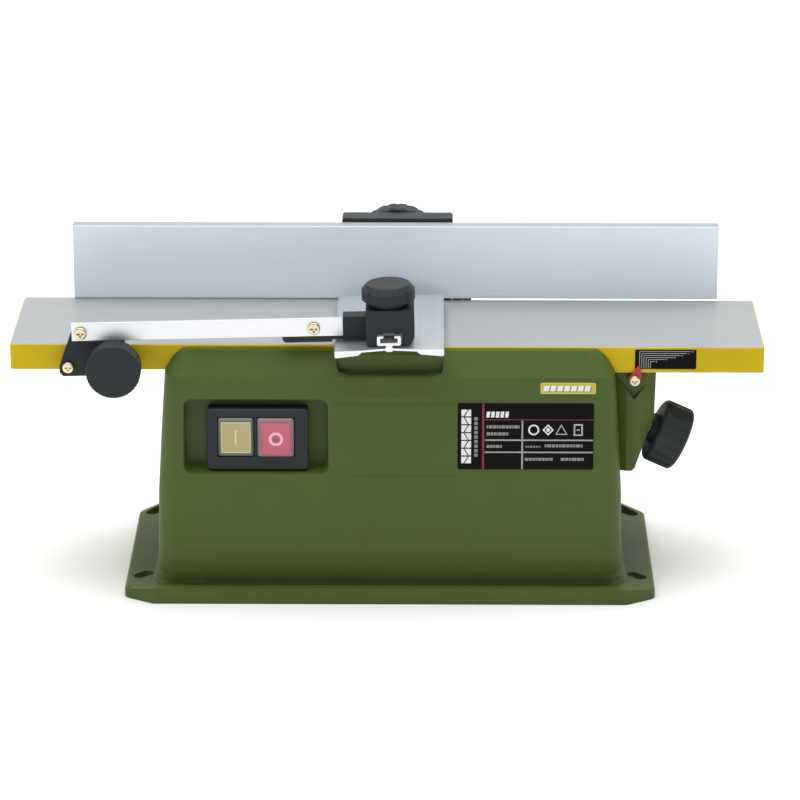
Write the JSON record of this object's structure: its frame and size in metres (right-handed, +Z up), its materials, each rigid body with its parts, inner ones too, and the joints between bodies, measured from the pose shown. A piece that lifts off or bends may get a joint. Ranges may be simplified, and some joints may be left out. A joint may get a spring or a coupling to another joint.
{
  "type": "bench surface planer",
  "caption": "Small bench-top surface planer: two tables over a round cutter, tilting sliding fence, swinging cutter guard, and a bolt-down housing with push-button switch.",
  "frame": {"origin": "middle of the base's underside, on the bench", "axes": "+X to the infeed (adjustable) table, +Y to the fence at the back, +Z up"},
  "size_m": [0.3992, 0.1375, 0.1829],
  "materials": {
    "green_shell": "satin, fine texture",
    "table_metal": "milled top, painted yellow sides",
    "fence_metal": "fine brushed",
    "bar_metal": "bright brushed",
    "black_plastic": "fine grained",
    "black_metal": "satin black",
    "plated_screw": "yellow zinc",
    "steel": "ground",
    "tool_steel": "ground and honed",
    "cast_frame": "as cast",
    "bronze": "machined",
    "motor_metal": "satin",
    "copper": "enamelled wire",
    "belt_rubber": "matte",
    "carbon": "matte",
    "start_cap": "cream, bevelled",
    "stop_cap": "red, bevelled",
    "label_black": "printed plate",
    "label_yellow": "printed plate",
    "pointer_red": "gloss",
    "board_green": "circuit board",
    "chute_plastic": "moulded"
  },
  "bodies": {
    "root": {"housing": "green_shell", "bottom_cover": "steel", "housing_screws": "steel", "machine_frame": "cast_frame", "outfeed_table": "table_metal", "table_screws": "steel", "adjuster_bracket": "green_shell", "depth_pointer": "pointer_red", "pointer_screw": "plated_screw", "ball_bearings": "steel", "drive_belt": "belt_rubber", "motor_can": "motor_metal", "motor_end_bells": "cast_frame", "field_coils": "copper", "motor_brushes": "carbon", "motor_cradle": "chute_plastic", "chip_chute": "chute_plastic", "switch_bezel": "black_plastic", "switch_body": "black_plastic", "rating_plate": "label_black", "badge_plate": "label_yellow", "cable_inlet": "black_plastic", "circuit_board": "board_green", "guard_pivot_screw": "plated_screw", "fence_bracket": "black_metal", "fence_bracket_screws": "plated_screw", "hinge_pin": "steel"},
    "cutter": {"cutter_block": "tool_steel", "knives": "tool_steel", "knife_clamps": "steel", "clamp_screws": "steel", "cutter_pulley": "steel"},
    "rotor": {"rotor_shaft": "steel", "rotor_core": "motor_metal", "commutator": "copper", "motor_fan": "chute_plastic", "motor_pulley": "steel"},
    "infeed": {"infeed_table": "table_metal", "depth_nut": "bronze", "depth_scale": "label_black"},
    "depth_adjuster": {"depth_spindle": "steel", "depth_knob": "black_plastic"},
    "guard_arm": {"guard_pivot_plate": "black_plastic", "guard_bar": "bar_metal", "guard_bar_screws": "plated_screw", "guard_holder": "black_plastic", "guard_nut": "steel"},
    "guard": {"guard_plate": "bar_metal"},
    "guard_knob": {"guard_stud": "steel", "guard_top_knob": "black_plastic"},
    "arm_clamp": {"guard_clamp_knob": "black_plastic", "guard_clamp_stud": "steel"},
    "fence_tilter": {"fence_carrier": "black_metal", "fence_nut": "steel"},
    "fence_body": {"fence": "fence_metal"},
    "fence_clamp": {"fence_stud": "steel", "fence_knob": "black_plastic"},
    "tilt_lock": {"tilt_lever": "black_metal"},
    "start": {"start_button": "start_cap"},
    "stop": {"stop_button": "stop_cap"}
  },
  "joints": [
    {"name": "cutter_spin", "type": "hinge", "parent": "root", "child": "cutter", "pos_m": [0, 0, 0.113], "axis": [0, 1, 0], "continuous": true},
    {"name": "motor_spin", "type": "hinge", "parent": "root", "child": "rotor", "pos_m": [0, 0, 0.045], "axis": [0, 1, 0], "continuous": true},
    {"name": "depth_turn", "type": "hinge", "parent": "root", "child": "depth_adjuster", "pos_m": [0.1501, -0.024, 0.0808], "axis": [0.91, 0, -0.4147], "range_deg": [0, 1512]},
    {"name": "infeed_lift", "type": "slide", "parent": "root", "child": "infeed", "axis": [-0.9816, 0, 0.1908], "range_m": [0, 0.00525]},
    {"name": "guard_swing", "type": "hinge", "parent": "root", "child": "guard_arm", "pos_m": [-0.1697, -0.047, 0.1266], "axis": [0, -1, 0], "range_deg": [-0.4, 11]},
    {"name": "guard_slide", "type": "slide", "parent": "guard_arm", "child": "guard", "axis": [0, 1, 0], "range_m": [-0.06, 0.009]},
    {"name": "guard_knob_turn", "type": "hinge", "parent": "guard_arm", "child": "guard_knob", "pos_m": [-0.00062, -0.052, 0.16414], "axis": [-0.0244, 0, 0.9997], "range_deg": [0, 360]},
    {"name": "arm_clamp_turn", "type": "hinge", "parent": "root", "child": "arm_clamp", "pos_m": [-0.145, -0.05, 0.1286], "axis": [0, -1, 0], "range_deg": [0, 360]},
    {"name": "fence_tilt", "type": "hinge", "parent": "root", "child": "fence_tilter", "pos_m": [0.003, 0.0465, 0.132], "axis": [-1, 0, 0], "range_deg": [0, 45]},
    {"name": "fence_slide", "type": "slide", "parent": "fence_tilter", "child": "fence_body", "axis": [1, 0, 0], "range_m": [-0.04, 0.04]},
    {"name": "fence_clamp_turn", "type": "hinge", "parent": "fence_tilter", "child": "fence_clamp", "pos_m": [0.00325, 0.058, 0.1595], "axis": [0, 1, 0], "range_deg": [0, 360]},
    {"name": "tilt_lock_turn", "type": "hinge", "parent": "root", "child": "tilt_lock", "pos_m": [0.036, 0.0465, 0.132], "axis": [1, 0, 0], "range_deg": [-20, 20]},
    {"name": "start_press", "type": "slide", "parent": "root", "child": "start", "axis": [0, 1, 0], "range_m": [0, 0.003], "stiffness_N_per_m": 300},
    {"name": "stop_press", "type": "slide", "parent": "root", "child": "stop", "axis": [0, 1, 0], "range_m": [0, 0.003], "stiffness_N_per_m": 300}
  ],
  "couplings": [
    {"joint": "motor_spin", "follows": "cutter_spin", "ratio": 2},
    {"joint": "depth_turn", "follows": "infeed_lift", "rad_per_m": 5026.5}
  ]
}
